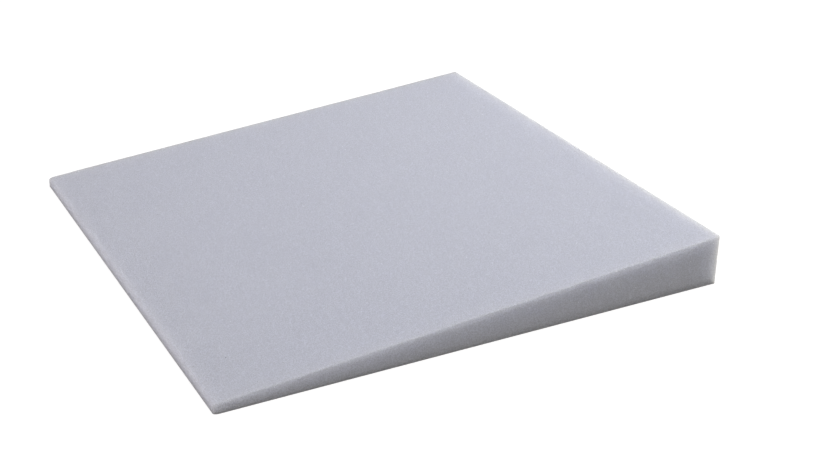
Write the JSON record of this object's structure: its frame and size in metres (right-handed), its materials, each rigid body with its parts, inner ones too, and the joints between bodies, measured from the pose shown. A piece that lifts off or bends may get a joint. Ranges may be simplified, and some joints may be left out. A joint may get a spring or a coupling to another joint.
{
  "type": "acoustic foam panel",
  "caption": "Square acoustic panel of smooth grey open-cell foam, with a flat back and a sloped face that rises from a thin edge to a thick edge.",
  "frame": {"origin": "centre of the flat back", "axes": "+X runs from the thin edge to the thick edge, +Y along those edges, and +Z out of the flat back towards the sloped face"},
  "size_m": [0.5, 0.5, 0.0499],
  "materials": {
    "foam": "open-cell polyurethane foam, wire-cut, matt"
  },
  "bodies": {
    "root": {"foam_panel": "foam"}
  },
  "joints": []
}
